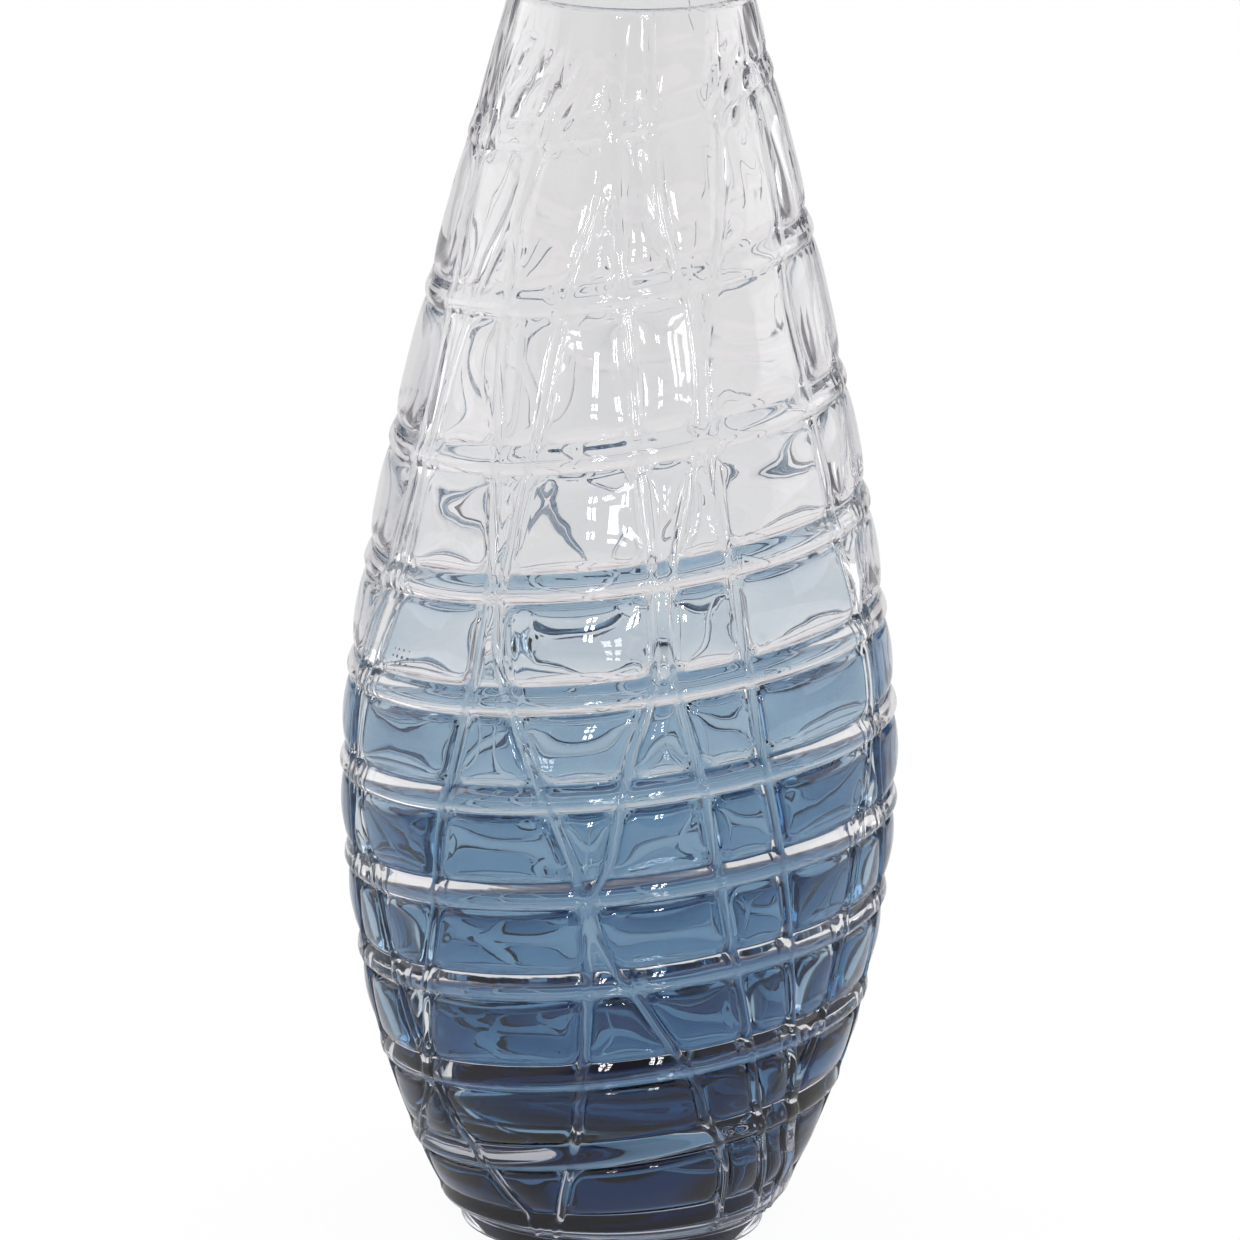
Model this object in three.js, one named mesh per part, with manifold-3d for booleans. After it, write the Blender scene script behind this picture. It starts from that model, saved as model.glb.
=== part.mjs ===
// Cut crystal vase: a clear glass body with a raised net all over its outside, and belts of
// blue glass laid into it between the lower rings. Millimetres, +Z up.
// The origin is the centre of the foot's ground underside. Angles are in degrees,
// measured round the axis from the front (-Y) towards the right (+X).
import * as THREE from 'three';
import { mergeVertices } from 'three/addons/utils/BufferGeometryUtils.js';
import Module from 'manifold-3d';

const wasm = await Module();
wasm.setup();
const { clamp, lerp, smoothstep, degToRad, radToDeg } = THREE.MathUtils;

// ---------------------------------------------------------------- driving dimensions
const HEIGHT = 380; // foot to rim
const FOOT_RADIUS = 47.5; // where the body leaves the foot
const HEEL_RADIUS = 62; // lower side, at HEEL_HEIGHT
const HEEL_HEIGHT = 30;
const BELLY_RADIUS = 84.2; // widest place, at BELLY_HEIGHT
const BELLY_HEIGHT = 143;
const SHOULDER_RADIUS = 57.5; // upper side, at SHOULDER_HEIGHT
const SHOULDER_HEIGHT = 300;
const MOUTH_RADIUS = 36; // outside of the rim

const NECK_WALL = 4.5; // glass thickness at the rim, out to the crest of the net
const BELLY_WALL = 4.8; // the same at the belly, both glasses together
const HEEL_WALL = 8; // the same where the side runs into the floor
const FLOOR_HEIGHT = 26; // inside floor, above the table
const FLOOR_ROUND = 30; // height over which the floor curves up into the side
const LIP_ROUND = 1.8; // rounding of the fire-polished rim, inside and out
const LIP_CHAMFER = 0.3; // middle point of that rounding, as a share of it
const FOOT_EDGE = 1.5; // rounding of the foot's ground edge
const FOOT_RING_WIDTH = 9; // flat ground ring that the vase stands on
const PONTIL_DEPTH = 1.6; // polished hollow inside that ring
const PONTIL_FLAT = 0.6; // flat bottom of the hollow, as a share of its radius

const BLUE_BELTS = 6; // belts of blue glass, the first one above the lowest ring
const BELT_THICK = 1.7; // blue glass under the grooves of the lowest belt
const BELT_THIN = 0.8; // the same in the top belt
const GLASS_GAP = 0.3; // clearance between the two glasses

const RELIEF = 1.5; // depth of the grooves beside every rib
const CROSSING = 0.6; // height of a rib where it runs through another one's groove, as a share
const RING_HALF_WIDTH = 4.2; // half a ring rib, groove to groove
const STAVE_HALF_WIDTH = 3; // half an upright rib, groove to groove
const RING_TILT = 10; // each ring climbs this much above its middle on the right
const LEVEL_FOOT = 40; // the tilt fades out below this height, and above the top ring

// Rings of the net on the front, from foot to neck, as shares of HEIGHT.
const RINGS = [12, 38.5, 66, 96, 125, 154.5, 184, 217, 254.5, 300, 348].map((h) => h / 380);

// Upright ribs of the front half. A row holds the angles of one rib at NET_LEVELS: the rings,
// the middles of the two tallest cells, and the rim. The back half is the same net turned half
// round. Ribs that come within a few degrees of each other run together there.
const NET_LEVELS = [...RINGS.slice(0, 9), 277 / 380, RINGS[9], 324 / 380, RINGS[10], 1];
const FRONT_STAVES = [
  [-93, -85, -79, -77, -75, -76, -74, -65, -62, -61, -62, -63, -66, -68],
  [-84, -73, -54, -58, -63, -70, -68, -58, -56, -53, -48, -42, -37, -36],
  [-26, -40, -50, -46, -41, -38, -34, -31, -33, -35, -38, -38, -33, -30],
  [-19, -11, -8, -6, -8, -15, -23, -27, -23, -20, -17, -11, -9, -8],
  [36, 28, 17, 2, -4, 1, 7, 7, 4, 1, -1, -6, -5, -3],
  [54, 42, 33, 27, 22, 17, 11, 11, 18, 20, 17, 11, 7, 8],
  [65, 51, 46, 40, 36, 32, 29, 25, 22, 23, 27, 34, 37, 40],
  [71, 55, 56, 58, 60, 65, 66, 60, 57, 55, 55, 57, 58, 60],
  [86, 81, 81, 78, 73, 70, 71, 76, 79, 80, 80, 81, 82, 84],
];
const STAVE_CELLS = [1, 2, 2, 2, 1, 1, 2, 1, 1]; // mesh columns in the cell right of each rib
const CELL_ROWS = 2; // mesh rows in the cells between two rings
const ROUND_SEGMENTS = 40; // sides of the turned inside
const BOWL_ROWS = 6; // mesh rows of the inside's round floor
const SIDE_ROWS = 12; // mesh rows of the inside's wall

// ---------------------------------------------------------------- helpers

// Value at x of the smooth curve through the points (xs[i], ys[i]), whose xs rise.
function curveThrough(xs, ys) {
  const last = xs.length - 1;
  const slopes = xs.map((_, i) => {
    const [a, b] = [Math.max(i - 1, 0), Math.min(i + 1, last)];
    return (ys[b] - ys[a]) / (xs[b] - xs[a]);
  });
  return (x) => {
    const above = xs.findIndex((v) => v > x);
    const i = above < 0 ? last - 1 : Math.max(above - 1, 0);
    const span = xs[i + 1] - xs[i];
    const t = clamp((x - xs[i]) / span, 0, 1);
    const rise = ys[i + 1] - ys[i];
    const startBend = slopes[i] * span - rise;
    const endBend = rise - slopes[i + 1] * span;
    return lerp(ys[i], ys[i + 1], t) + t * (1 - t) * lerp(startBend, endBend, t);
  };
}

// The numbers i / count for i from first to last.
function shares(count, first = 0, last = count) {
  return Array.from({ length: last - first + 1 }, (_, i) => (first + i) / count);
}

// A closed geometry as a manifold-3d solid. The triangles with no area, on the axis and where
// columns meet, are left out.
function toSolid(geometry) {
  geometry.deleteAttribute('normal');
  geometry.deleteAttribute('uv');
  const merged = mergeVertices(geometry, 1e-4);
  const triVerts = [];
  for (let t = 0; t < merged.index.count; t += 3) {
    const [a, b, c] = [0, 1, 2].map((k) => merged.index.getX(t + k));
    if (a !== b && b !== c && c !== a) triVerts.push(a, b, c);
  }
  const vertProperties = new Float32Array(merged.attributes.position.array);
  return new wasm.Manifold(
    new wasm.Mesh({ numProp: 3, vertProperties, triVerts: new Uint32Array(triVerts) }),
  );
}

function toMesh(name, solid, material) {
  const { vertProperties, triVerts } = solid.getMesh();
  const geometry = new THREE.BufferGeometry();
  geometry.setAttribute('position', new THREE.BufferAttribute(vertProperties, 3));
  geometry.setIndex(new THREE.BufferAttribute(triVerts, 1));
  geometry.computeVertexNormals();
  const mesh = new THREE.Mesh(geometry, material);
  mesh.name = name;
  return mesh;
}

// The solid inside rows of { angle, radius, z } points: a lathe mesh whose vertices are moved
// there. The rows start and end on the axis, or at one and the same row.
function latheThrough(rows) {
  const columns = rows[0].length;
  const geometry = new THREE.LatheGeometry(rows.map((_, i) => new THREE.Vector2(1, i)), columns);
  const position = geometry.attributes.position;
  for (let i = 0; i < position.count; i++) {
    const { angle, radius, z } = rows[i % rows.length][Math.floor(i / rows.length) % columns];
    const turn = degToRad(angle);
    position.setXYZ(i, radius * Math.sin(turn), z, radius * Math.cos(turn));
  }
  splitAlongShorterDiagonals(geometry);
  geometry.rotateX(Math.PI / 2);
  return toSolid(geometry);
}

// A lathe's index holds the triangles a b d and c d b for each four-cornered face a b c d.
function splitAlongShorterDiagonals({ index, attributes: { position } }) {
  const corner = (i) => new THREE.Vector3().fromBufferAttribute(position, i);
  for (let first = 0; first < index.count; first += 6) {
    const [a, b, d, c] = [0, 1, 2, 3].map((k) => index.getX(first + k));
    if (corner(a).distanceTo(corner(c)) < corner(b).distanceTo(corner(d))) {
      index.setX(first + 2, c);
      index.setX(first + 5, a);
    }
  }
}

// ---------------------------------------------------------------- outline of the vase
const outerRadius = curveThrough(
  [
    0,
    HEEL_HEIGHT,
    lerp(HEEL_HEIGHT, BELLY_HEIGHT, 0.4),
    BELLY_HEIGHT,
    lerp(BELLY_HEIGHT, SHOULDER_HEIGHT, 0.46),
    SHOULDER_HEIGHT,
    HEIGHT,
  ],
  [
    FOOT_RADIUS,
    HEEL_RADIUS,
    lerp(HEEL_RADIUS, BELLY_RADIUS, 0.65),
    BELLY_RADIUS,
    lerp(BELLY_RADIUS, SHOULDER_RADIUS, 0.31),
    SHOULDER_RADIUS,
    MOUTH_RADIUS,
  ],
);
const sideFoot = FLOOR_HEIGHT + FLOOR_ROUND; // where the inside wall starts
const wallThickness = curveThrough(
  [sideFoot, BELLY_HEIGHT, HEIGHT],
  [HEEL_WALL, BELLY_WALL, NECK_WALL],
);
const innerRadius = (z) => outerRadius(z) - wallThickness(z);
const lipHeight = HEIGHT - LIP_ROUND; // where the lip's rounding starts

// ---------------------------------------------------------------- the net
const ringHeights = RINGS.map((share) => share * HEIGHT);
const topRing = ringHeights.at(-1);

// A level is the height of a line of the net on the front; round the vase it climbs and falls.
function tiltedHeight(level, angle) {
  const tilt = RING_TILT * smoothstep(level, 0, LEVEL_FOOT) * (1 - smoothstep(level, topRing, HEIGHT));
  return level + tilt * Math.sin(degToRad(angle));
}

const staves = [0, 180].flatMap((turn) =>
  FRONT_STAVES.map((angles) => {
    const angle = curveThrough(NET_LEVELS.map((share) => share * HEIGHT), angles);
    return (level) => angle(level) + turn;
  }),
);

// The mesh columns at a level: the angle, what the column follows, and how full its cell is.
// Plain surfaces take the plain angle, where an upright rib's three columns meet in one.
function columnsAt(level) {
  const centres = staves.map((angle) => angle(level));
  const gaps = centres.map((angle, i) => (centres[i + 1] ?? centres[0] + 360) - angle);
  const degreesPerMm = radToDeg(1 / outerRadius(level));
  const halves = gaps.map((gap) => Math.min(STAVE_HALF_WIDTH * degreesPerMm, gap * 0.36));
  return centres.flatMap((centre, i) => {
    const start = centre + halves[i];
    const cellWidth = gaps[i] - 2 * halves[i];
    const fullness = smoothstep(cellWidth / degreesPerMm, 1, 8);
    const count = STAVE_CELLS[i % STAVE_CELLS.length] + 1;
    return [
      { angle: centre - halves.at(i - 1), kind: 'groove', plainAngle: centre },
      { angle: centre, kind: 'rib', plainAngle: centre },
      { angle: start, kind: 'groove', plainAngle: centre },
      ...shares(count, 1, count - 1).map((t) => {
        const angle = start + cellWidth * t;
        return { angle, kind: 'cell', plainAngle: angle, fullness };
      }),
    ];
  });
}

// How far a point of the net stands above the groove's bottom, from 0 to 1.
function reliefAt(rowKind, column) {
  const kinds = [rowKind, column.kind];
  if (kinds.includes('rib')) return kinds.includes('groove') ? CROSSING : 1;
  return kinds.includes('groove') ? 0 : column.fullness;
}

// Rows of points for latheThrough. Their columns are led along the upright ribs, and all but a
// flat row follow the rings round the vase.
function netRow({ level, kind }) {
  return columnsAt(level).map((column) => {
    const z = tiltedHeight(level, column.angle);
    return {
      angle: column.angle,
      radius: outerRadius(z) - RELIEF * (1 - reliefAt(kind, column)),
      z,
    };
  });
}

function plainRow(radiusAt, level) {
  return columnsAt(level).map(({ plainAngle }) => {
    const z = tiltedHeight(level, plainAngle);
    return { angle: plainAngle, radius: radiusAt(z), z };
  });
}

const flatRow = (radius, z) =>
  columnsAt(z).map(({ plainAngle }) => ({ angle: plainAngle, radius, z }));

const ringRows = (level) => [
  netRow({ level: level - RING_HALF_WIDTH, kind: 'groove' }),
  plainRow(outerRadius, level),
  netRow({ level: level + RING_HALF_WIDTH, kind: 'groove' }),
];

const cellRows = (bottom, top) =>
  shares(CELL_ROWS + 1, 1, CELL_ROWS).map((t) =>
    netRow({ level: lerp(bottom, top, t), kind: 'cell' }),
  );

// ---------------------------------------------------------------- blue belts

// A belt fills the space between two rings, from groove to groove, and lies on a seat that is
// turned into the clear glass.
const belts = ringHeights.slice(0, BLUE_BELTS).map((height, i) => ({
  bottom: height + RING_HALF_WIDTH,
  top: ringHeights[i + 1] - RING_HALF_WIDTH,
}));
function blueThickness(z) {
  const [bottom, top] = [belts[0].bottom, belts.at(-1).top];
  return lerp(BELT_THICK, BELT_THIN, clamp((z - bottom) / (top - bottom), 0, 1));
}
const beltInside = (z) => outerRadius(z) - RELIEF - blueThickness(z);
const seatRadius = (z) => beltInside(z) - GLASS_GAP;

function blueBelt({ bottom, top }) {
  const [low, high] = [bottom + GLASS_GAP, top - GLASS_GAP];
  return latheThrough([
    plainRow(beltInside, low),
    netRow({ level: low, kind: 'groove' }),
    ...cellRows(low, high),
    netRow({ level: high, kind: 'groove' }),
    plainRow(beltInside, high),
    plainRow(beltInside, low),
  ]);
}

// ---------------------------------------------------------------- clear body

// The outside of the body and the foot's underside, with the belts' seats cut into it.
function outside() {
  const ground = FOOT_RADIUS - FOOT_EDGE;
  const hollowEdge = ground - FOOT_RING_WIDTH;
  const lip = outerRadius(lipHeight);
  const rings = ringHeights.flatMap((level, i) => {
    const next = ringHeights[i + 1] ? ringHeights[i + 1] - RING_HALF_WIDTH : lipHeight;
    const between = belts[i]
      ? [plainRow(seatRadius, belts[i].bottom), plainRow(seatRadius, belts[i].top)]
      : cellRows(level + RING_HALF_WIDTH, next);
    return [...ringRows(level), ...between];
  });
  return latheThrough([
    flatRow(0, PONTIL_DEPTH),
    flatRow(PONTIL_FLAT * hollowEdge, PONTIL_DEPTH),
    flatRow(hollowEdge, 0),
    flatRow(ground, 0),
    flatRow(outerRadius(FOOT_EDGE), FOOT_EDGE),
    ...rings,
    flatRow(lip, lipHeight),
    flatRow(lip - LIP_CHAMFER * LIP_ROUND, HEIGHT - LIP_CHAMFER * LIP_ROUND),
    flatRow(lip - LIP_ROUND, HEIGHT),
    flatRow(0, HEIGHT),
  ]);
}

// The inside of the vase, mouth and all: a round bowl, the side and the lip.
function inside() {
  const circle = (radius, z) =>
    shares(ROUND_SEGMENTS, 0, ROUND_SEGMENTS - 1).map((t) => ({ angle: 360 * t, radius, z }));
  const mouth = innerRadius(lipHeight) + LIP_ROUND;
  const bowl = shares(BOWL_ROWS, 0, BOWL_ROWS - 1).map((t) => {
    const turn = (t * Math.PI) / 2;
    return circle(
      innerRadius(sideFoot) * Math.sin(turn),
      FLOOR_HEIGHT + FLOOR_ROUND * (1 - Math.cos(turn)),
    );
  });
  const side = shares(SIDE_ROWS).map((t) => {
    const z = lerp(sideFoot, lipHeight, t);
    return circle(innerRadius(z), z);
  });
  return latheThrough([
    ...bowl,
    ...side,
    circle(mouth - LIP_CHAMFER * LIP_ROUND, HEIGHT - LIP_CHAMFER * LIP_ROUND),
    circle(mouth, HEIGHT),
    circle(mouth, HEIGHT + LIP_ROUND),
    circle(0, HEIGHT + LIP_ROUND),
  ]);
}

// ---------------------------------------------------------------- the vase
function glass(name, colour, opacity) {
  return new THREE.MeshStandardMaterial({
    name,
    color: colour,
    roughness: 0.02,
    metalness: 0,
    transparent: true,
    opacity,
  });
}

const vase = new THREE.Group();
const clearBody = outside().subtract(inside());
vase.add(toMesh('clear_body', clearBody, glass('clear_crystal', 0xe9edf1, 0.35)));

// The blue is deepest in the lowest belt.
const deepBlue = new THREE.Color(0x1d3157);
const paleBlue = new THREE.Color(0x86a9c8);
belts.forEach((belt, i) => {
  const colour = deepBlue.clone().lerp(paleBlue, i / (BLUE_BELTS - 1));
  vase.add(toMesh(`blue_belt_${i + 1}`, blueBelt(belt), glass('blue_glass', colour, 0.7)));
});
export default vase;
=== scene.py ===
"""Looks of the cut crystal vase: a clear blown body with a raised net of ribs all over, and
blue glass behind its wall, in the cells between its lower rings and in its base. The blue pales
upwards, and the upper part of the vase is clear.

Units in the outline and the net are millimetres; meshes are written in metres. Angles are in
degrees round the axis, from the front (-Y) towards the right (+X). A level is the height of a
line of the net on the front: round the vase it climbs and falls with the tilt of the rings.
"""

import math

import bpy
import numpy as np
from mathutils import Matrix, Vector


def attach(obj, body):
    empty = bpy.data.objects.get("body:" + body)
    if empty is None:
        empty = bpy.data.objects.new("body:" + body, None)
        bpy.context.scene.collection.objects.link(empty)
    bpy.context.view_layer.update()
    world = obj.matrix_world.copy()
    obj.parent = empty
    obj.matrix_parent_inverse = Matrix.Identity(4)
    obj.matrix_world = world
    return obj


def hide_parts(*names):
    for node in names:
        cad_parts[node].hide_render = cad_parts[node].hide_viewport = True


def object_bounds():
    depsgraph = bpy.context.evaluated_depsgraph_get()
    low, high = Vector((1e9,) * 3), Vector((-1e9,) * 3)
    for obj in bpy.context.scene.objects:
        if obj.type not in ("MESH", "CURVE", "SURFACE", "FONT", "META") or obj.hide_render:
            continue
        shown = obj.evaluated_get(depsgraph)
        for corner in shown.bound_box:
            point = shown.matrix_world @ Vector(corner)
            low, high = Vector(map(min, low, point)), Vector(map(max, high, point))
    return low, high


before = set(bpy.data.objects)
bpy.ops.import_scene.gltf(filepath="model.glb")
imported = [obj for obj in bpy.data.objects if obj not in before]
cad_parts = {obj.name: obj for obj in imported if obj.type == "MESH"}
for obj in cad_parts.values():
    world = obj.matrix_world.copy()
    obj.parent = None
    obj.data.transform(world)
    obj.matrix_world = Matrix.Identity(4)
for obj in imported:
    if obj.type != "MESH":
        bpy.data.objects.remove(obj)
cad_bounds = [list(corner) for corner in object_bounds()]

MM = 0.001

# ---------------------------------------------------------------- sizes of the vase
HEIGHT = cad_bounds[1][2] / MM
BELLY_RADIUS = 84.1
BELLY_HEIGHT = 143
HEEL_RADIUS = 62
HEEL_HEIGHT = 30
SHOULDER_RADIUS = 57.5
SHOULDER_HEIGHT = 300
FOOT_RADIUS = 47.5
MOUTH_RADIUS = 36

HEEL_WALL = 8.0
BELLY_WALL = 4.8
NECK_WALL = 4.5
FLOOR_HEIGHT = 26  # inside floor
FLOOR_ROUND = 30  # height over which the floor curves up into the side
FLOOR_LEVEL = 12  # level at which the net's columns meet on the middle of the floor
LIP_ROUND = 1.8
INSIDE_WAVE = 0.15  # unevenness of the blown inside, in waves 10 to 20 cm long
LIP_FADE = 30  # height below the lip over which that unevenness grows
FLOOR_FADE = 15  # height above the round floor over which the ribs come to show inside
FOOT_STEP = 1.6  # how far the ground foot stands back under the lowest ring
PONTIL_DEPTH = 1.6  # polished hollow under the base, inside the ground ring
GROUND_RING = 9  # width of the ring that the vase stands on

# ---------------------------------------------------------------- sizes of the net
RING_LEVELS = np.array([12, 38.5, 66, 96, 125, 154.5, 184, 217, 254.5, 300, 348])
RING_TILT = 10  # rise of a ring from the front to the right side
TILT_FOOT = 40  # the tilt fades out below this level, and above the top ring
BLUE_ROWS = 6  # rows of cells that hold blue glass, from the lowest ring up

RING_HALF_WIDTH = 4.6  # half a ring cord, groove to groove
RING_RISE = 2.5  # crest of a ring cord above its grooves
RING_CREST = -0.3  # place of the crest across the cord, below its middle
STAVE_HALF_WIDTH = 1.7  # half an upright rib
STAVE_GROOVE = 0.05  # the grooves beside the upright ribs are this much shallower
STAVE_RISE = 1.9
STAVE_SHARE = 0.36  # half an upright rib takes at most this share of the way to the next one
RIBS_MEET = 0.8  # upright ribs with less than this between them run together
RIBS_PART = 2.4  # and with more than this they stay apart
CELL_EDGE = 1.25  # shoulder of a cell's pillow above the ring grooves
CELL_CROWN = 1.2  # and its crown above the shoulder
CROWN_REACH = 11  # distance from a ring at which a pillow has its full crown
CELL_CORNER = 4.5  # corner radius of a cell's pillow
ROUND_WIDTHS = (4, 14)  # cells narrower than the first have none, wider than the second all of it
FULL_WIDTHS = (2, 9)  # and the same for the height of the pillow
EDGE_ROUND = 1.8  # width over which a pillow rounds down to its grooves
KNUCKLE_DIP = 0.25  # dip in a ring cord on both sides of an upright rib
KNUCKLE_REACH = 1.0
RELIEF_LEVELS = [0, 60, 140, 217, 300, 360, HEIGHT]  # the relief fades towards the mouth,
RELIEF_SHARES = [1.0, 1.0, 1.0, 0.9, 0.8, 0.5, 0.0]  # to these shares of its full height

SOFT_REACH = 1.5  # distance over which fire-polishing softens the ribs
BELLY_SOFTNESS = 0.08  # share of that softening round the belly, where the lines stay crisp,
NECK_SOFTNESS = 0.6  # and on the neck, which was worked last
SOFT_LEVELS = (190, 260)  # between these the one runs over into the other
SWELL_LEVELS = [12, 66, 96, 190, 260, HEIGHT]  # the ribs swell inwards too, at these levels
SWELL_SHARES = [1.4, 1.4, 0.85, 0.7, 0.35, 0.35]  # by these shares of their softened height

MARK_DEPTH = 0.9  # dents that a tool left where the neck was drawn in
MARK_BULGE = 0.3  # the glass bulges between them, by this share of their depth
MARK_SPACING = 8.5
MARK_SLANT = -0.7  # their lean to the left, in mm for each mm up
MARK_HEIGHTS = (338, 350, 362, 372)  # they start, are full, and fade at these heights
LEFT_MARKS = (-68, -55, -28, -12)  # and at these angles
RIGHT_MARKS = (28, 40, 50, 66)
RIGHT_SHARE = 0.7  # depth of the right ones, as a share of the left ones
TOOLED_HEIGHTS = (315, 340, 360, 376)  # and the inside has short waves at these heights

# Upright ribs of the front half, from left to right and from the foot up: (height, angle).
# The back half is the same net turned half round. Ribs that touch run together there.
STAVES = [
    [(5, -93), (30, -85), (60, -79), (90, -77), (120, -74), (150, -75), (175, -74),
     (190, -71), (205, -67), (230, -63), (280, -61), (340, -66), (375, -68)],
    [(8, -84), (26, -77), (41, -62), (56, -52.6), (75, -56), (95, -59), (115, -62),
     (138, -69), (165, -69), (188, -63), (205, -59), (250, -56), (284, -52),
     (318, -41), (340, -37), (375, -37)],
    [(8, -26), (15, -28), (22, -33), (33, -40), (42, -46), (58, -50.4), (80, -48),
     (112, -42), (140, -39.5), (155, -37), (175, -34), (190, -32.3), (215, -31),
     (245, -33), (280, -36), (318, -38.2), (340, -33), (375, -30)],
    [(8, -19), (14, -17), (25, -14), (36, -11), (50, -9), (66, -7.5), (95, -6),
     (112, -6), (122, -7.3), (132, -9), (148, -14), (163, -19), (178, -23.5),
     (190, -27.3), (200, -28.3), (230, -26.5), (260, -22), (290, -19), (305, -16),
     (325, -10), (345, -8.5), (375, -8)],
    [(8, 38), (20, 36), (30, 34), (38, 31), (50, 24), (62, 20), (81, 10), (91, 5),
     (100, 0), (108, -3.4), (116, -5), (123, -5.4), (132, -2), (142, -0.5),
     (155, 1), (168, 3), (180, 6), (190, 7.6), (200, 8), (225, 6.5), (255, 3.5),
     (285, 1), (300, -1), (322, -4), (345, -5), (375, -3)],
    [(8, 56), (25, 51), (42, 43), (57, 37), (80, 31), (105, 25.5), (132, 21),
     (160, 17), (175, 14), (190, 11), (205, 10), (218, 11), (243, 16), (268, 19.8),
     (288, 19.4), (298, 18), (310, 14), (330, 10), (375, 8)],
    [(8, 65), (27, 62), (36, 56), (44, 52.4), (54, 50.2), (80, 44), (108, 39.5),
     (135, 35.5), (165, 31), (195, 28), (225, 25), (250, 22.8), (268, 21.6),
     (280, 22), (300, 26), (318, 31), (345, 36), (375, 40)],
    [(8, 71), (27, 66), (36, 59.5), (44, 55), (54, 52), (66, 53.6), (80, 56),
     (112, 58.5), (128, 59.5), (150, 63.5), (165, 66), (178, 67), (190, 66),
     (205, 64), (225, 60), (245, 58), (270, 56), (295, 54), (320, 58), (375, 60)],
    [(8, 86), (65, 81), (95, 79), (115, 76), (135, 72), (150, 69.6), (175, 70),
     (190, 70), (205, 71), (222, 75), (250, 78), (300, 80), (375, 84)],
]

# Mesh density: columns across a rib and across the cell after each rib, rows across a ring
# cord and in the round floor, and the spacing of the other rows.
RIB_COLUMNS = 10
CELL_COLUMNS = [12, 20, 22, 22, 14, 14, 18, 14, 14]
RING_ROWS = 16
BOWL_ROWS = 24
CELL_ROW_SPACING = 1.6
WALL_ROW_SPACING = 1.3
FLOOR_MIDDLE = 0.005  # the floor's innermost row is this share of the way to its last one

# ---------------------------------------------------------------- sizes of the blue glass
# The blue thins out from the foot upwards: its thickness in the cells and in the lining, at
# these levels.
CELL_LEVELS = [12, 40, 66, 96, 125, 154, 184]
CELL_BLUE = [3.6, 2.1, 0.8, 0.45, 0.35, 0.2, 0.04]
LINING_LEVELS = [*CELL_LEVELS, 205]
LINING_BLUE = [1.2, 1.2, 0.95, 0.78, 0.74, 0.34, 0.035, 0.02]
BASE_BLUE = 1.6  # thickness of the blue disc in the thick base
BASE_LEVEL = 5  # height of the disc's underside
BASE_INSET = 4.5  # the disc stays this far inside the outline
BASE_EDGE = 1  # width of its slanting edge
LINING_GAP = 0.12  # the lining is kept this far clear of the inside of the crystal
BLUE_EDGE = 0.7  # width over which a blue cell runs out at its edges
SKIN = 0.06  # clear glass over the blue in the cells


# ---------------------------------------------------------------- curves
def smooth_curve(xs, ys):
    """The smooth curve through the points (xs[i], ys[i]), as a function of an array."""
    xs, ys = np.array(xs, float), np.array(ys, float)
    before = np.maximum(np.arange(len(xs)) - 1, 0)
    after = np.minimum(np.arange(len(xs)) + 1, len(xs) - 1)
    slopes = (ys[after] - ys[before]) / (xs[after] - xs[before])

    def value(x):
        i = np.clip(np.searchsorted(xs, x, side="right") - 1, 0, len(xs) - 2)
        span = xs[i + 1] - xs[i]
        rise = ys[i + 1] - ys[i]
        t = np.clip((x - xs[i]) / span, 0, 1)
        bend = (slopes[i] * span - rise) * (1 - t) + (rise - slopes[i + 1] * span) * t
        return ys[i] + rise * t + t * (1 - t) * bend

    return value


def lerp(a, b, t):
    return a + (b - a) * t


def smoothstep(x, low, high):
    t = np.clip((x - low) / (high - low), 0, 1)
    return t * t * (3 - 2 * t)


def plateau(x, limits):
    """0 outside the four rising limits, 1 between the middle two, and smooth in between."""
    start, full, fading, end = limits
    return smoothstep(x, start, full) * (1 - smoothstep(x, fading, end))


def ring_section(t):
    """Height of a ring cord over its grooves, at t from -1 at its foot to 1 at its top: a long
    even slope above the crest, and a short round one below."""
    above = np.clip((t - RING_CREST) / (1 - RING_CREST), 0, 1)
    below = np.clip((RING_CREST - t) / (1 + RING_CREST), 0, 1)
    return RING_RISE * (1 - above**1.6 - below**2)


def arc(t, half_width, rise):
    """Height over its edges of a cord with a circular section, at t from -1 to 1 across it."""
    radius = (half_width**2 + rise**2) / (2 * rise)
    x = np.clip(t, -1, 1) * half_width
    return np.sqrt(radius**2 - x**2) - (radius - rise)


def rounded(distance, width):
    """0 at an edge, 1 from `width` inwards, on a quarter circle."""
    t = np.clip(distance / width, 0, 1)
    return np.sqrt(1 - (1 - t) ** 2)


def packed_steps(count):
    """Steps between 0 and 1, closer together at both ends."""
    return (1 - np.cos(np.pi * np.arange(1, count) / count)) / 2


# The outline. A point below the belly and one above it keep its sides full.
outer_radius = smooth_curve(
    [0, HEEL_HEIGHT, lerp(HEEL_HEIGHT, BELLY_HEIGHT, 0.4), BELLY_HEIGHT,
     lerp(BELLY_HEIGHT, SHOULDER_HEIGHT, 0.46), SHOULDER_HEIGHT, HEIGHT],
    [FOOT_RADIUS, HEEL_RADIUS, lerp(HEEL_RADIUS, BELLY_RADIUS, 0.65), BELLY_RADIUS,
     lerp(BELLY_RADIUS, SHOULDER_RADIUS, 0.31), SHOULDER_RADIUS, MOUTH_RADIUS],
)
side_foot = FLOOR_HEIGHT + FLOOR_ROUND
wall_thickness = smooth_curve(
    [side_foot, BELLY_HEIGHT, HEIGHT], [HEEL_WALL, BELLY_WALL, NECK_WALL]
)
lip_height = HEIGHT - LIP_ROUND


def inner_radius(z):
    return outer_radius(z) - wall_thickness(z)


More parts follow.
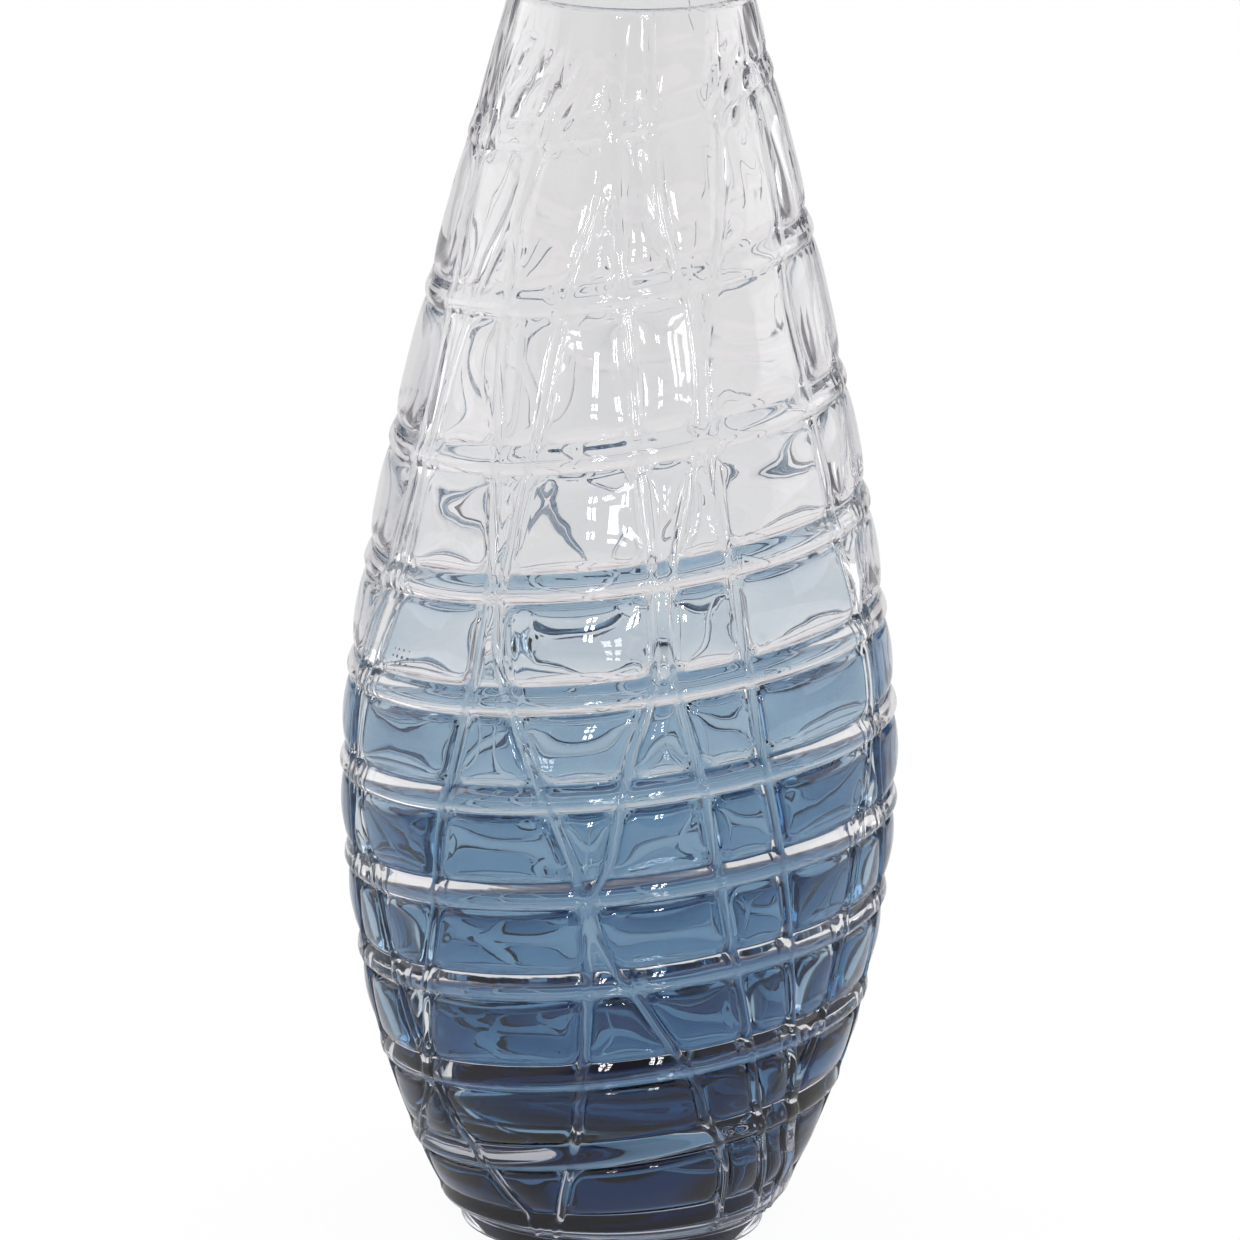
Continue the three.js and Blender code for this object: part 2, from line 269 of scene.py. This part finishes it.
def tilt(level):
    """How far a line of the net climbs from the front to the right side."""
    top_ring = RING_LEVELS[-1]
    return RING_TILT * smoothstep(level, 0, TILT_FOOT) * (1 - smoothstep(level, top_ring, HEIGHT))


# ---------------------------------------------------------------- rows and columns of the net
def net_rows():
    """Levels of the mesh rows, their place across a ring cord (2 outside it), and their
    distance from the nearest ring groove."""
    rows = []
    for i, ring in enumerate(RING_LEVELS):
        rows += [(ring + t * RING_HALF_WIDTH, t, 0) for t in np.linspace(-1, 1, RING_ROWS)]
        bottom = ring + RING_HALF_WIDTH
        last = i + 1 == len(RING_LEVELS)
        top = lip_height if last else RING_LEVELS[i + 1] - RING_HALF_WIDTH
        count = round((top - bottom) / CELL_ROW_SPACING)
        for level in lerp(bottom, top, packed_steps(count)):
            to_top = top - level + (EDGE_ROUND if last else 0)
            rows.append((level, 2, min(level - bottom, to_top)))
    return np.array(rows).T


def stave_curves():
    """For each upright rib round the vase, the angle of its middle as a function of the level."""
    curves = []
    for points in STAVES:
        heights, angles = np.array(points, float).T
        levels = heights - tilt(heights) * np.sin(np.radians(angles))
        curves.append(smooth_curve(levels, angles))
    return [lambda level, f=f, turn=turn: f(level) + turn for turn in (0, 180) for f in curves]


def net_columns(level, curves):
    """The mesh columns at a level: angle, place across an upright rib (2 outside it), distance
    from the nearest rib's groove in mm, the cell's width, and how far the rib runs together
    with the next one."""
    centres = np.array([curve(level) for curve in curves])
    gaps = np.diff(np.append(centres, centres[0] + 360))
    degrees_per_mm = np.degrees(1 / outer_radius(level))
    halves = np.minimum(STAVE_HALF_WIDTH * degrees_per_mm, gaps * STAVE_SHARE)
    widths = gaps - 2 * halves
    widths_mm = widths / degrees_per_mm
    merges = 1 - smoothstep(widths_mm, RIBS_MEET, RIBS_PART)
    columns = []
    for i, centre in enumerate(centres):
        for t in np.arange(RIB_COLUMNS) * 2 / RIB_COLUMNS - 1:
            cell = i - 1 if t < 0 else i
            inside = (abs(t) - 1) * halves[cell] / degrees_per_mm
            columns.append((centre + t * halves[cell], t, inside, 0, merges[cell]))
        count = CELL_COLUMNS[i % len(STAVES)]
        for t in np.append(0, packed_steps(count)):
            angle = centre + halves[i] + widths[i] * t
            from_rib = min(t, 1 - t) * widths_mm[i]
            columns.append((angle, 2, from_rib, widths_mm[i], merges[i]))
    return np.array(columns).T


row_level, row_across, row_inset = net_rows()
curves = stave_curves()
angle, across, inset, cell_width, merged = np.moveaxis(
    np.array([net_columns(level, curves) for level in row_level]), 1, 0
)
level = row_level[:, None]
height = level + tilt(level) * np.sin(np.radians(angle))
in_ring = (np.abs(row_across) <= 1)[:, None]
in_stave = np.abs(across) <= 1


# ---------------------------------------------------------------- relief of the net
def net_relief():
    """Height of the surface above the ring grooves, in mm."""
    ring = np.where(in_ring, ring_section(row_across)[:, None], 0)
    dip = KNUCKLE_DIP * np.exp(-((inset / KNUCKLE_REACH) ** 2)) * (1 - merged)
    ring = ring - dip * ring / RING_RISE

    from_rings = np.where(in_ring, 0, rounded(row_inset, EDGE_ROUND)[:, None])
    corner = CELL_CORNER * smoothstep(cell_width, *ROUND_WIDTHS)
    past_side = np.maximum(corner - np.maximum(inset, 0), 0)
    past_ring = np.maximum(corner - row_inset[:, None], 0)
    in_corner = np.minimum(past_side, past_ring) > 0
    from_edge = np.minimum(np.maximum(inset, 0), row_inset[:, None])
    from_edge = np.where(in_corner, corner - np.hypot(past_side, past_ring), from_edge)
    fullness = smoothstep(cell_width, *FULL_WIDTHS)
    shoulder = lerp(STAVE_GROOVE, CELL_EDGE, rounded(from_edge, EDGE_ROUND) * fullness)
    half_cell = np.maximum(cell_width, 1) / 2
    across_cell = 1 - (1 - np.clip(inset / half_cell, 0, 1)) ** 2
    up_cell = 1 - (1 - np.clip(row_inset / CROWN_REACH, 0, 1)) ** 2
    crown = across_cell * up_cell[:, None]
    pillow = from_rings * (shoulder + CELL_CROWN * crown * fullness)
    ridge = np.where(in_stave, arc(across, STAVE_HALF_WIDTH, STAVE_RISE), 0)
    ridge = np.maximum(ridge, merged * STAVE_RISE)
    in_cell = pillow * (1 - merged) + merged * STAVE_GROOVE
    body = np.where(in_stave, STAVE_GROOVE * from_rings, in_cell)
    net = body + ridge
    sharpness = 5  # of the line where a ring cord meets the rest
    return (ring**sharpness + net**sharpness) ** (1 / sharpness)


relief_scale = smooth_curve(RELIEF_LEVELS, RELIEF_SHARES)
relief_depth = relief_scale(level) * (RING_RISE - net_relief())


def blurred(values, places, reach):
    """Values at uneven places along the last axis, each the mean of those around it."""
    widths = np.gradient(places, axis=-1)
    near = np.exp(-(((places[..., :, None] - places[..., None, :]) / reach) ** 2) / 2)
    weights = near * widths[..., None, :]
    return (weights @ values[..., None])[..., 0] / weights.sum(-1)


def soft_relief():
    """The relief as fire-polishing softens it."""
    along = np.array([
        blurred(depths, np.radians(degrees) * radius, SOFT_REACH)
        for depths, degrees, radius in zip(relief_depth, angle, outer_radius(row_level))
    ])
    return blurred(along.T, row_level, SOFT_REACH).T


def tool_marks():
    """Slanting dents on both sides of the front of the neck, where a tool drew it in."""
    along = np.radians(angle) * outer_radius(height) + MARK_SLANT * (height - lip_height)
    marks = np.maximum(np.sin(2 * math.pi * along / MARK_SPACING), -MARK_BULGE)
    beside = plateau(angle, LEFT_MARKS) + RIGHT_SHARE * plateau(angle, RIGHT_MARKS)
    return MARK_DEPTH * marks * beside * plateau(height, MARK_HEIGHTS)


soft_depth = soft_relief()
inside_depth = smooth_curve(SWELL_LEVELS, SWELL_SHARES)(level) * soft_depth
softness = lerp(BELLY_SOFTNESS, NECK_SOFTNESS, smoothstep(level, *SOFT_LEVELS))
surface_radius = outer_radius(height) - lerp(relief_depth, soft_depth, softness) - tool_marks()


# ---------------------------------------------------------------- meshes
def points_at(radius, degrees, z):
    """Points in metres at a radius and a height in mm and an angle round the axis."""
    turn = np.radians(degrees)
    radius, turn, z = np.broadcast_arrays(radius, turn, z)
    return np.stack([radius * np.sin(turn), -radius * np.cos(turn), z], -1) * MM


def slope_along(points, axis):
    """Direction of a grid's lines at each point, exact also where its steps are uneven."""
    before = points - np.roll(points, 1, axis)
    after = np.roll(before, -1, axis)
    if axis == 0:
        before[0], after[-1] = after[0], before[-1]
    step_before = np.linalg.norm(before, axis=-1, keepdims=True) + 1e-9
    step_after = np.linalg.norm(after, axis=-1, keepdims=True) + 1e-9
    ratio = step_after / step_before
    return before / step_before * ratio + after / step_after / ratio


def grid_normals(points):
    """Outward normals at the points of a grid, across both of its lines."""
    normals = np.cross(slope_along(points, 1), slope_along(points, 0))
    return normals / (np.linalg.norm(normals, axis=-1, keepdims=True) + 1e-12)


def add_object(name, verts, faces, normals=None):
    """Adds a smooth mesh, with its own normals where they are given."""
    mesh = bpy.data.meshes.new(name)
    mesh.from_pydata(verts.tolist(), [], faces)
    mesh.update()
    mesh.shade_smooth()
    if normals is not None:
        mesh.normals_split_custom_set_from_vertices(normals.tolist())
    made = bpy.data.objects.new(name, mesh)
    bpy.context.scene.collection.objects.link(made)
    return made


def grid_faces(rows, columns, first=0):
    """Four-cornered faces between rows of points that close round the axis."""
    i, j = np.meshgrid(np.arange(rows - 1), np.arange(columns), indexing="ij")
    k = (j + 1) % columns
    corners = [i * columns + j, i * columns + k, (i + 1) * columns + k, (i + 1) * columns + j]
    return (np.stack(corners, -1).reshape(-1, 4) + first).tolist()


def capped_faces(rows, columns):
    """The faces of a closed piece: those between its rows, and one on each end row."""
    last = (rows - 1) * columns
    caps = [list(range(columns))[::-1], list(range(last, last + columns))]
    return grid_faces(rows, columns) + caps


def foot_rows():
    """The polished hollow, the ground ring and the step out to the lowest ring, from the
    middle outwards as (radius, height)."""
    ground = FOOT_RADIUS - FOOT_STEP
    hollow = ground - GROUND_RING
    net_foot = row_level[0]
    step = outer_radius(net_foot) - relief_scale(net_foot) * RING_RISE
    polished_hollow = [
        (0.02 * hollow, PONTIL_DEPTH), (0.5 * hollow, PONTIL_DEPTH),
        (0.8 * hollow, 0.7 * PONTIL_DEPTH), (hollow - 0.6, 0.15),
    ]
    ground_ring = [(hollow, 0), (ground - 1.2, 0), (ground - 0.35, 0.3), (ground, 1.1)]
    step_out = [
        (ground + 0.2, 0.6 * net_foot), (ground + 0.5, 0.8 * net_foot), (step - 0.5, net_foot - 0.4),
    ]
    profile = polished_hollow + ground_ring + step_out
    return [points_at(radius, angle[0], z) for radius, z in profile]


def lip_rows():
    """The round lip: up over the outside's edge, and down over the inside's."""
    outside = outer_radius(lip_height)
    inside = inner_radius(lip_height)
    quarter = np.radians([15, 40, 65, 90])
    in_from_edge = LIP_ROUND * (1 - np.cos(quarter))
    up = lip_height + LIP_ROUND * np.sin(quarter)
    rows = [*zip(outside - in_from_edge, up), *zip((inside + in_from_edge)[::-1], up[::-1])]
    return [points_at(radius, angle[-1], z) for radius, z in rows]


def inside_wave(degrees, z):
    """Slow waves round and up the blown inside, and short ones on the tooled neck."""
    turn = np.radians(degrees)
    slow = np.sin(3 * turn + z / 23) + np.sin(5 * turn - z / 31 + 1) * 0.6
    short = np.sin(26 * turn + z / 7 + np.sin(2 * turn))
    return INSIDE_WAVE * (slow + plateau(z, TOOLED_HEIGHTS) * short)


def inside_points(z, degrees, depth, sunk=0):
    """Points on the inside of the wall, and below it on the bowl that rounds into the floor,
    where z only counts the way down to the floor's middle. `depth` is how far the inside stands
    back from its ribs, and `sunk` moves the points into the hollow."""
    fade = smoothstep(lip_height - z, 0, LIP_FADE)
    net = depth * smoothstep(z, side_foot, side_foot + FLOOR_FADE)
    side = inner_radius(np.maximum(z, side_foot)) + fade * (inside_wave(degrees, z) + net)
    out = np.clip((z - FLOOR_LEVEL) / (side_foot - FLOOR_LEVEL), FLOOR_MIDDLE, 1)
    turn = out * math.pi / 2
    across = np.sin(turn) * (side - sunk)
    up = np.where(z > side_foot, z, FLOOR_HEIGHT + FLOOR_ROUND * (1 - np.cos(turn)))
    return points_at(across, degrees, up + sunk * np.cos(turn))


def inside_rows():
    """The inside, from the lip down to the middle of its floor."""
    columns = range(angle.shape[1])
    side = np.linspace(lip_height, side_foot, round((lip_height - side_foot) / WALL_ROW_SPACING))
    bowl = np.linspace(side_foot, FLOOR_LEVEL, BOWL_ROWS)[1:]
    rows = []
    for z in [*side, *bowl]:
        degrees = np.array([np.interp(z, height[:, j], angle[:, j]) for j in columns])
        depth = np.array([np.interp(z, height[:, j], inside_depth[:, j]) for j in columns])
        rows.append(inside_points(z, degrees, depth))
    return rows


def crystal_body():
    """The clear glass as one closed surface: foot, net, lip and inside."""
    net = points_at(surface_radius, angle, height)
    grid = np.array([*foot_rows(), *net, *lip_rows(), *inside_rows()])
    rows, columns = grid.shape[:2]
    normals = grid_normals(grid).reshape(-1, 3)
    verts = grid.reshape(-1, 3)
    poles = np.array([[0, 0, PONTIL_DEPTH], [0, 0, FLOOR_HEIGHT]]) * MM
    below, above = len(verts), len(verts) + 1
    last = (rows - 1) * columns
    faces = grid_faces(rows, columns)
    for j in range(columns):
        k = (j + 1) % columns
        faces += [[below, k, j], [above, last + j, last + k]]
    pole_normals = [[0, 0, -1], [0, 0, 1]]
    verts = np.vstack([verts, poles])
    return add_object("crystal_body", verts, faces, np.vstack([normals, pole_normals]))


def blue_thickness():
    """Thickness of the blue in the cells at each point of the net: none under the ribs."""
    full = smooth_curve(CELL_LEVELS, CELL_BLUE)(level)
    edge = np.clip(inset / BLUE_EDGE, 0, 1) * np.clip(row_inset / BLUE_EDGE, 0, 1)[:, None]
    return full * edge * ~in_ring * ~in_stave * (cell_width > 2 * BLUE_EDGE)


def blue_row(number, thickness):
    """The blue glass in one row of cells: in each a closed pane that thins out at its edges."""
    bottom, top = RING_LEVELS[number - 1], RING_LEVELS[number]
    rows = np.flatnonzero((row_level > bottom) & (row_level < top))
    columns = angle.shape[1]
    outer = surface_radius[rows] - SKIN
    depth = thickness[rows]
    skins = [
        points_at(outer - sunk, angle[rows], height[rows]).reshape(-1, 3) for sunk in (0, depth)
    ]
    back = len(skins[0])
    thick = (depth > 0).ravel()
    faces = []
    for face in grid_faces(len(rows), columns):
        if thick[face].any():
            under = [corner + back if thick[corner] else corner for corner in face[::-1]]
            faces += [face, under]
    used, faces_used = np.unique(np.concatenate(faces), return_inverse=True)
    verts = np.vstack(skins)[used]
    return add_object(f"blue_cells_{number}", verts, faces_used.reshape(-1, 4).tolist())


def blue_lining():
    """The blue glass behind the clear wall, all over the inside of the lower half."""
    rows = row_level < LINING_LEVELS[-1]
    z, degrees, depth = height[rows], angle[rows], inside_depth[rows]
    thickness = smooth_curve(LINING_LEVELS, LINING_BLUE)(level[rows])
    skins = [inside_points(z, degrees, depth, LINING_GAP + sunk) for sunk in (0, thickness)]
    grid = np.array([*skins[0], *skins[1][::-1]])
    return add_object("blue_lining", grid.reshape(-1, 3), capped_faces(*grid.shape[:2]))


def blue_base():
    """The blue glass in the thick base, a disc clear of the cells round it."""
    radius = outer_radius(BASE_LEVEL) - BASE_INSET
    cap_radius = 0.1  # of the one face in the middle of each side
    underside = [(cap_radius, BASE_LEVEL), (radius - BASE_EDGE, BASE_LEVEL)]
    rim = (radius, BASE_LEVEL + BASE_BLUE / 2)
    top = [(r, z + BASE_BLUE) for r, z in underside[::-1]]
    grid = np.array([points_at(r, angle[0], z) for r, z in [*underside, rim, *top]])
    return add_object("blue_base", grid.reshape(-1, 3), capped_faces(*grid.shape[:2]))


# ---------------------------------------------------------------- materials
def linear(colour):
    """An sRGB colour written as hex, as linear RGBA."""
    channels = [int(colour[i : i + 2], 16) / 255 for i in (1, 3, 5)]
    return [c / 12.92 if c <= 0.04045 else ((c + 0.055) / 1.055) ** 2.4 for c in channels] + [1]


def add_node(tree, kind, values=(), links=(), **settings):
    """Adds a node with its settings, the values of its sockets, and links into its sockets."""
    node = tree.nodes.new(kind)
    for name, value in settings.items():
        setattr(node, name, value)
    for socket, value in dict(values).items():
        node.inputs[socket].default_value = value
    for socket, source in dict(links).items():
        tree.links.new(source, node.inputs[socket])
    return node


def new_material(name):
    material = bpy.data.materials.new(name)
    material.use_nodes = True
    material.node_tree.nodes.clear()
    return material, material.node_tree


def blown_crystal():
    """Clear lead crystal, blown and fire-polished: a glossy surface with a faint unevenness that
    bends reflections, and a slight blue-grey in thick places."""
    ripple_spacing = 14 * MM
    ripple_height = 0.12 * MM
    material, tree = new_material("lead_crystal_blown_and_polished")
    place = add_node(tree, "ShaderNodeTexCoord")
    ripple = add_node(
        tree, "ShaderNodeTexNoise",
        values={"Scale": 1 / ripple_spacing, "Detail": 1.0, "Roughness": 0.4},
        links={"Vector": place.outputs["Object"]},
    )
    bump = add_node(
        tree, "ShaderNodeBump",
        values={"Strength": 1.0, "Distance": ripple_height},
        links={"Height": ripple.outputs[0]},
    )
    glass = add_node(
        tree, "ShaderNodeBsdfPrincipled",
        values={
            "Base Color": linear("#ffffff"), "Transmission Weight": 1.0, "Roughness": 0.0, "IOR": 1.52,
        },
        links={"Normal": bump.outputs[0]},
    )
    body = add_node(
        tree, "ShaderNodeVolumeAbsorption",
        values={"Color": linear("#bcbfcb"), "Density": 10.0},
    )
    add_node(
        tree, "ShaderNodeOutputMaterial",
        links={"Surface": glass.outputs[0], "Volume": body.outputs[0]},
    )
    return material


def blue_overlay():
    """Cobalt-grey overlay glass, fused to the crystal all round: it has no surface of its own,
    and its colour deepens with its thickness."""
    material, tree = new_material("blue_overlay_glass_fused_and_cut")
    clear = add_node(tree, "ShaderNodeBsdfTransparent")
    body = add_node(
        tree, "ShaderNodeVolumeAbsorption",
        values={"Color": linear("#59b1d4"), "Density": 950.0},
    )
    add_node(
        tree, "ShaderNodeOutputMaterial",
        links={"Surface": clear.outputs[0], "Volume": body.outputs[0]},
    )
    return material


def white_sweep():
    """Matt white background paper, lit by the studio. The camera sees it as plain white that
    keeps the vase's soft shadow, and the glass shows it as half way to that."""
    plain_white = 1.1  # a little over 1, because the paper's grey is mixed in
    seen_share = 0.85  # of the plain white in what the camera sees
    glass_share = 0.48  # and in what the glass shows
    material, tree = new_material("white_background_paper")
    paper = add_node(tree, "ShaderNodeBsdfDiffuse", values={"Color": linear("#c4c4c4")})
    glow = add_node(
        tree, "ShaderNodeEmission", values={"Color": linear("#ffffff"), "Strength": plain_white},
    )
    ray = add_node(tree, "ShaderNodeLightPath")
    in_glass = add_node(
        tree, "ShaderNodeMath", operation="MAXIMUM",
        links={0: ray.outputs["Is Transmission Ray"], 1: ray.outputs["Is Glossy Ray"]},
    )
    through_glass = add_node(
        tree, "ShaderNodeMath", operation="MULTIPLY",
        values={1: glass_share}, links={0: in_glass.outputs[0]},
    )
    share = add_node(
        tree, "ShaderNodeMath", operation="MULTIPLY_ADD",
        values={1: seen_share}, links={0: ray.outputs["Is Camera Ray"], 2: through_glass.outputs[0]},
    )
    mixed = add_node(
        tree, "ShaderNodeMixShader",
        links={0: share.outputs[0], 1: paper.outputs[0], 2: glow.outputs[0]},
    )
    add_node(tree, "ShaderNodeOutputMaterial", links={"Surface": mixed.outputs[0]})
    return material


# ---------------------------------------------------------------- the vase
def add_vase():
    """The crystal and the blue glass, each piece with the parts that it stands for."""
    body = crystal_body()
    body.data.materials.append(blown_crystal())
    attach(body, "root")
    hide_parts("clear_body")

    blue = blue_overlay()
    thickness = blue_thickness()
    belts = [f"blue_belt_{number}" for number in range(1, BLUE_ROWS + 1)]
    for number, belt in enumerate(belts, 1):
        cells = blue_row(number, thickness)
        cells.data.materials.append(blue)
        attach(cells, "root")
        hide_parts(belt)

    for inner in (blue_lining(), blue_base()):
        inner.data.materials.append(blue)
        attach(inner, "root")
        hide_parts(*belts)


# ---------------------------------------------------------------- studio
def add_camera():
    """Looks along +Y and a little down on the vase's middle from a few metres away."""
    distance = 3.2
    view_width = 0.372  # across the frame, at the vase
    elevation = math.radians(14.5)
    roll = math.radians(0.94)
    aim = 0.491  # height that the camera looks at, as a share of the vase's
    shift = -0.0012  # sideways, as a share of the frame's width
    target = Vector((0, 0, aim * HEIGHT * MM))
    forward = Vector((0, math.cos(elevation), -math.sin(elevation)))
    camera = bpy.data.objects.new("camera", bpy.data.cameras.new("camera"))
    camera.data.sensor_width = 36
    camera.data.lens = camera.data.sensor_width * distance / view_width
    camera.data.shift_x = shift
    turned = forward.to_track_quat("-Z", "Y").to_matrix().to_4x4() @ Matrix.Rotation(roll, 4, "Z")
    camera.matrix_world = Matrix.Translation(target - forward * distance) @ turned
    bpy.context.scene.collection.objects.link(camera)
    bpy.context.scene.camera = camera


def add_softbox(name, direction, elevation, distance, width, height, radiance):
    """A softbox that faces the vase's middle. Direction 0 is the camera's, 90 the right side."""
    light = bpy.data.lights.new(name, "AREA")
    light.shape = "RECTANGLE"
    light.size, light.size_y = width, height
    light.energy = radiance * math.pi * width * height
    box = bpy.data.objects.new(name, light)
    turn, rise = math.radians(direction), math.radians(elevation)
    out = math.cos(rise)
    away = Vector((math.sin(turn) * out, -math.cos(turn) * out, math.sin(rise)))
    box.location = Vector((0, 0, HEIGHT * MM / 2)) + away * distance
    box.rotation_euler = away.to_track_quat("Z", "Y").to_euler()
    bpy.context.scene.collection.objects.link(box)


def add_window(name, direction, elevation):
    """A window of six panes on the camera's side: small bright glints on the glass."""
    across_step = 3.4  # degrees from pane to pane
    up_step = 4.76
    for column in range(2):
        for row in range(3):
            add_softbox(
                f"{name}_pane_{column}_{row}",
                direction=direction + column * across_step,
                elevation=elevation + row * up_step,
                distance=2.5, width=0.09, height=0.12, radiance=30,
            )


def add_floor():
    """The paper under the vase, 8 metres square, which is also the background."""
    half = 4
    corners = np.array([(-half, -half, 0), (half, -half, 0), (half, half, 0), (-half, half, 0)], float)
    floor = add_object("floor", corners, [[0, 1, 2, 3]])
    floor.data.materials.append(white_sweep())


# Shades of the studio by direction, from the camera's side (0) through the sides (0.5) to the
# far side (1): a dim room, white sides, and a dark band round the white far side, which draws
# the glass's edges.
STUDIO_SHADES = [
    (0.035, "#908e92"), (0.11, "#e6e3e4"), (0.86, "#e6e3e4"), (0.885, "#5c5a60"),
    (0.945, "#5c5a60"), (0.965, "#e6e3e4"),
]


def add_surroundings():
    """White all round, and grey towards the room behind the camera, as glass is lit for a
    product shot. The camera itself sees the background as plain white."""
    world = bpy.data.worlds.new("studio")
    world.use_nodes = True
    tree = world.node_tree
    tree.nodes.clear()
    direction = add_node(tree, "ShaderNodeTexCoord")
    axes = add_node(tree, "ShaderNodeSeparateXYZ", links={0: direction.outputs["Generated"]})
    around = add_node(
        tree, "ShaderNodeMapRange", values={"From Min": -1.0}, links={"Value": axes.outputs["Y"]}
    )
    shade = add_node(tree, "ShaderNodeValToRGB", links={"Fac": around.outputs[0]})
    stops = shade.color_ramp.elements
    for place, colour in STUDIO_SHADES[2:]:
        stops.new(place)
    for stop, (place, colour) in zip(stops, STUDIO_SHADES):
        stop.position = place
        stop.color = linear(colour)
    ray = add_node(tree, "ShaderNodeLightPath")
    seen = add_node(
        tree, "ShaderNodeMix", data_type="RGBA", values={"B": linear("#ffffff")},
        links={"Factor": ray.outputs["Is Camera Ray"], "A": shade.outputs["Color"]},
    )
    background = add_node(
        tree, "ShaderNodeBackground", values={"Strength": 1.0}, links={"Color": seen.outputs["Result"]}
    )
    add_node(tree, "ShaderNodeOutputWorld", links={"Surface": background.outputs[0]})
    bpy.context.scene.world = world


def set_up_cycles():
    """Enough bounces for light that crosses four walls and is reflected inside them. The
    denoiser works from the colour alone, because the ribs break up what lies behind them."""
    scene = bpy.context.scene
    scene.view_settings.view_transform = "Standard"
    cycles = scene.cycles
    cycles.max_bounces = 32
    cycles.transmission_bounces = 32
    cycles.transparent_max_bounces = 64
    cycles.glossy_bounces = 16
    cycles.use_denoising = True
    cycles.denoising_input_passes = "RGB"


add_camera()
add_vase()
add_floor()
add_surroundings()
for side, direction in (("left", -103), ("right", 103)):
    add_softbox(
        f"{side}_softbox", direction, elevation=20, distance=1.6, width=1.5, height=1.0, radiance=0.9
    )
add_window("left_window", direction=-14, elevation=6)
add_window("right_window", direction=10, elevation=8)
set_up_cycles()
